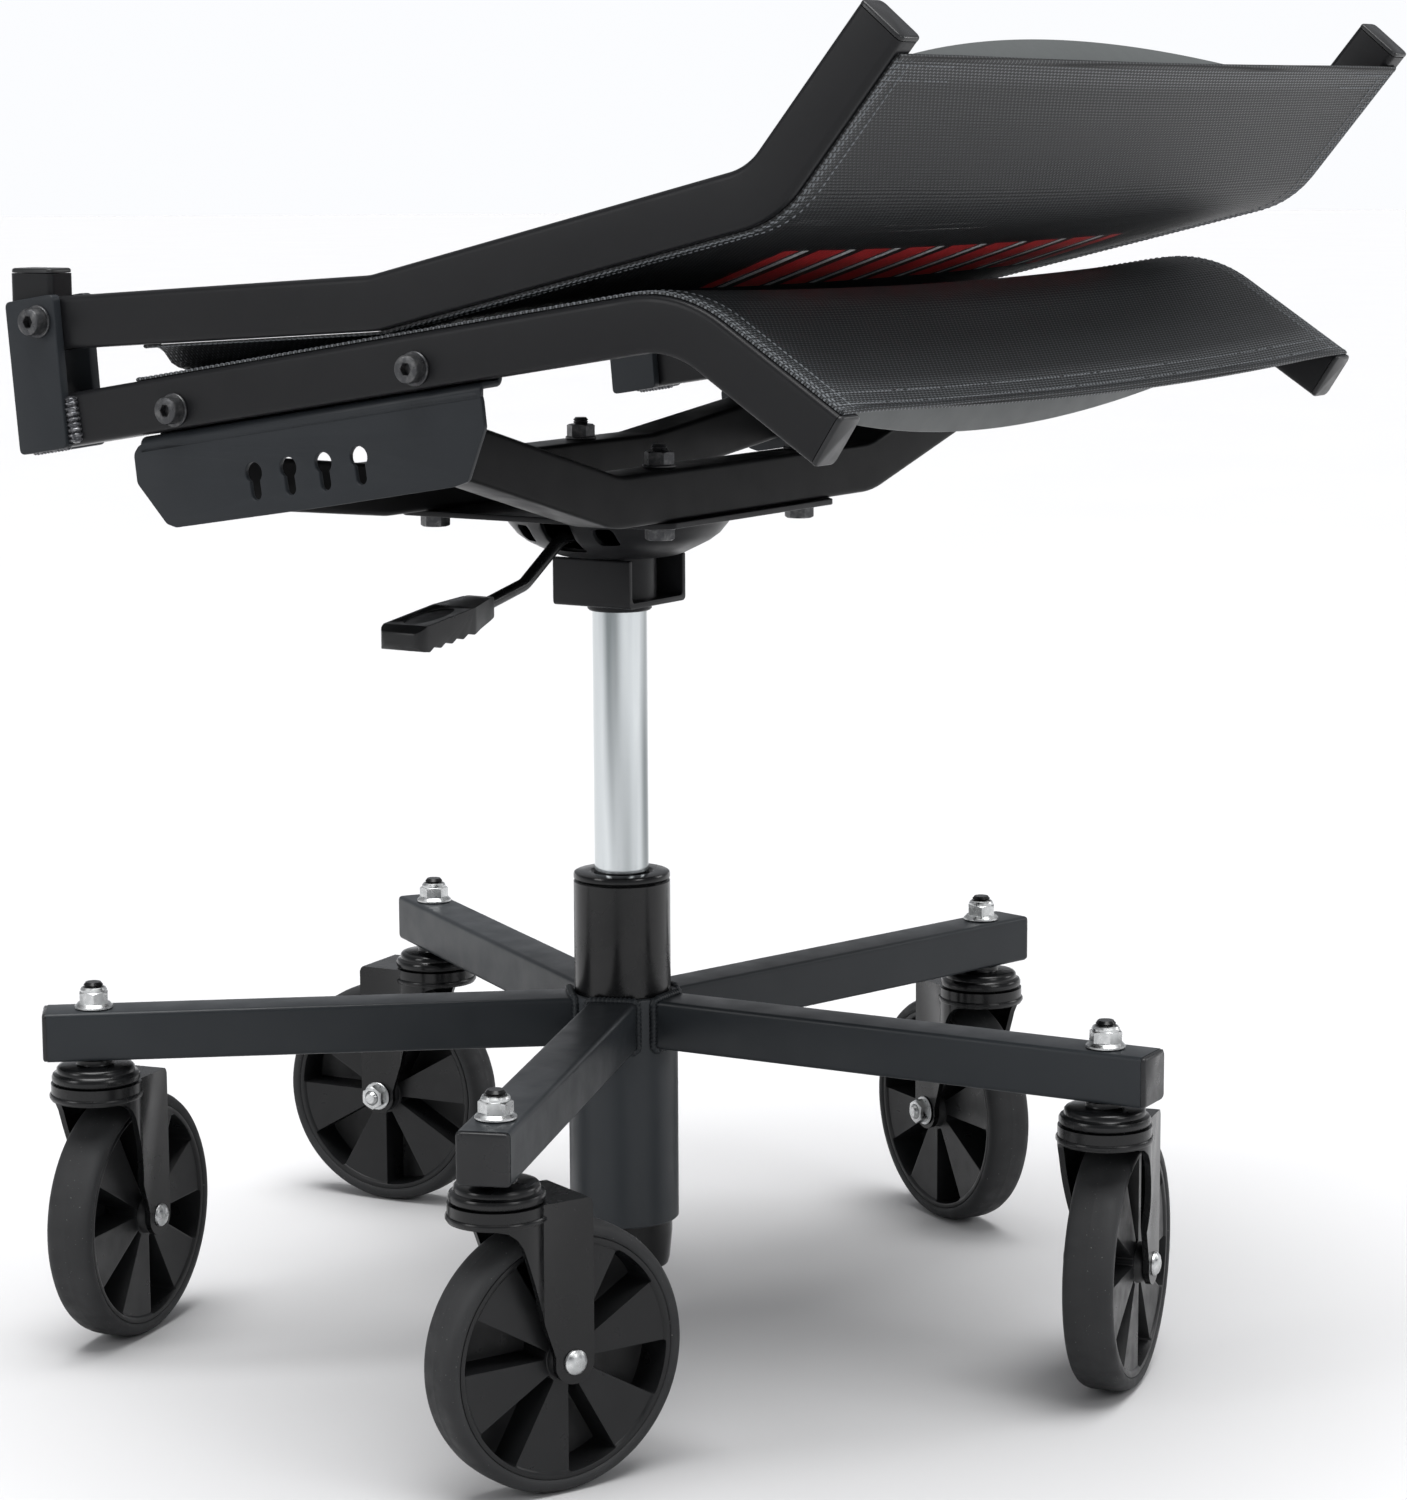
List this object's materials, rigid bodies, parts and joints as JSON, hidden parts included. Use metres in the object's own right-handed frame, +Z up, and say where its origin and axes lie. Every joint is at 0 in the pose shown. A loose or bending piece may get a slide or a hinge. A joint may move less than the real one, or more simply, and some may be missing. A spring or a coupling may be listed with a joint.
{
  "type": "mechanics creeper",
  "caption": "Rolling mechanic's seat: a folding mesh seat and backrest on a gas-lift column with a five-arm caster base.",
  "frame": {"origin": "on the floor, on the column's axis", "axes": "+Z up; the seat's front is -Y and the sitter's left is +X"},
  "size_m": [0.6066, 0.6398, 0.6741],
  "materials": {
    "frame_paint": "charcoal textured powder coat",
    "satin_black": "satin black powder coat",
    "gloss_black": "gloss black enamel",
    "chromed_rod": "polished chrome",
    "zinc_plate": "bright zinc plate",
    "black_steel": "black oxide",
    "black_plastic": "moulded, fine texture",
    "tyre_rubber": "dark grey rubber, a little dusty",
    "sling_mesh": "woven vinyl-coated mesh"
  },
  "bodies": {
    "base": {"hub_tube": "frame_paint", "arm_1": "frame_paint", "arm_2": "frame_paint", "arm_3": "frame_paint", "arm_4": "frame_paint", "arm_5": "frame_paint", "caster_race_1": "gloss_black", "caster_race_2": "gloss_black", "caster_race_3": "gloss_black", "caster_race_4": "gloss_black", "caster_race_5": "gloss_black", "caster_nut_1": "zinc_plate", "caster_nut_2": "zinc_plate", "caster_nut_3": "zinc_plate", "caster_nut_4": "zinc_plate", "caster_nut_5": "zinc_plate", "gas_cylinder": "gloss_black", "guide_ring": "gloss_black"},
    "swivel_1": {"caster_fork_1": "gloss_black", "caster_axle_1": "zinc_plate"},
    "wheel_1": {"caster_rim_1": "black_plastic", "caster_tyre_1": "tyre_rubber"},
    "swivel_2": {"caster_fork_2": "gloss_black", "caster_axle_2": "zinc_plate"},
    "wheel_2": {"caster_rim_2": "black_plastic", "caster_tyre_2": "tyre_rubber"},
    "swivel_3": {"caster_fork_3": "gloss_black", "caster_axle_3": "zinc_plate"},
    "wheel_3": {"caster_rim_3": "black_plastic", "caster_tyre_3": "tyre_rubber"},
    "swivel_4": {"caster_fork_4": "gloss_black", "caster_axle_4": "zinc_plate"},
    "wheel_4": {"caster_rim_4": "black_plastic", "caster_tyre_4": "tyre_rubber"},
    "swivel_5": {"caster_fork_5": "gloss_black", "caster_axle_5": "zinc_plate"},
    "wheel_5": {"caster_rim_5": "black_plastic", "caster_tyre_5": "tyre_rubber"},
    "lift": {"gas_rod": "chromed_rod"},
    "seat": {"swivel_socket": "satin_black", "tilt_bowl": "satin_black", "mounting_plate": "satin_black", "carrier_front": "satin_black", "carrier_rear": "satin_black", "seat_rail_left": "satin_black", "seat_rail_right": "satin_black", "side_bracket_left": "satin_black", "side_bracket_right": "satin_black", "hinge_bracket_left": "frame_paint", "hinge_bracket_right": "frame_paint", "pivot_bolt_left": "black_steel", "pivot_bolt_right": "black_steel", "seat_strap": "frame_paint", "seat_sling": "sling_mesh"},
    "lever": {"release_lever": "gloss_black", "lever_paddle": "black_plastic"},
    "back": {"back_rail_left": "satin_black", "back_rail_right": "satin_black", "back_strap": "frame_paint", "back_sling": "sling_mesh"}
  },
  "joints": [
    {"name": "caster_swivel_1", "type": "hinge", "parent": "base", "child": "swivel_1", "pos_m": [0.14484, 0.23, 0.14], "axis": [0, 0, 1], "continuous": true},
    {"name": "wheel_spin_1", "type": "hinge", "parent": "swivel_1", "child": "wheel_1", "pos_m": [0.1415, 0.25931, 0.0645], "axis": [-0.9936, -0.1132, 0], "continuous": true},
    {"name": "caster_swivel_2", "type": "hinge", "parent": "base", "child": "swivel_2", "pos_m": [-0.17398, 0.20882, 0.14], "axis": [0, 0, 1], "continuous": true},
    {"name": "wheel_spin_2", "type": "hinge", "parent": "swivel_2", "child": "wheel_2", "pos_m": [-0.14501, 0.2144, 0.0645], "axis": [-0.1891, 0.982, 0], "continuous": true},
    {"name": "caster_swivel_3", "type": "hinge", "parent": "base", "child": "swivel_3", "pos_m": [-0.25236, -0.10094, 0.14], "axis": [0, 0, 1], "continuous": true},
    {"name": "wheel_spin_3", "type": "hinge", "parent": "swivel_3", "child": "wheel_3", "pos_m": [-0.22517, -0.11237, 0.0645], "axis": [0.3875, 0.9219, 0], "continuous": true},
    {"name": "caster_swivel_4", "type": "hinge", "parent": "base", "child": "swivel_4", "pos_m": [0.01801, -0.2712, 0.14], "axis": [0, 0, 1], "continuous": true},
    {"name": "wheel_spin_4", "type": "hinge", "parent": "swivel_4", "child": "wheel_4", "pos_m": [0.04676, -0.26457, 0.0645], "axis": [-0.225, 0.9744, 0], "continuous": true},
    {"name": "caster_swivel_5", "type": "hinge", "parent": "base", "child": "swivel_5", "pos_m": [0.26349, -0.06667, 0.14], "axis": [0, 0, 1], "continuous": true},
    {"name": "wheel_spin_5", "type": "hinge", "parent": "swivel_5", "child": "wheel_5", "pos_m": [0.27762, -0.04077, 0.0645], "axis": [-0.878, 0.4787, 0], "continuous": true},
    {"name": "gas_lift", "type": "slide", "parent": "base", "child": "lift", "axis": [0, 0, 1], "range_m": [-0.12, 0]},
    {"name": "seat_swivel", "type": "hinge", "parent": "lift", "child": "seat", "pos_m": [0, 0, 0.39], "axis": [0, 0, 1], "continuous": true},
    {"name": "lever_lift", "type": "hinge", "parent": "seat", "child": "lever", "pos_m": [-0.044, 0, 0.422], "axis": [0, 1, 0], "range_deg": [0, 8], "stiffness_Nm_per_rad": 2},
    {"name": "back_fold", "type": "hinge", "parent": "seat", "child": "back", "pos_m": [0, 0.1495, 0.534], "axis": [-1, 0, 0], "range_deg": [0, 100]}
  ]
}
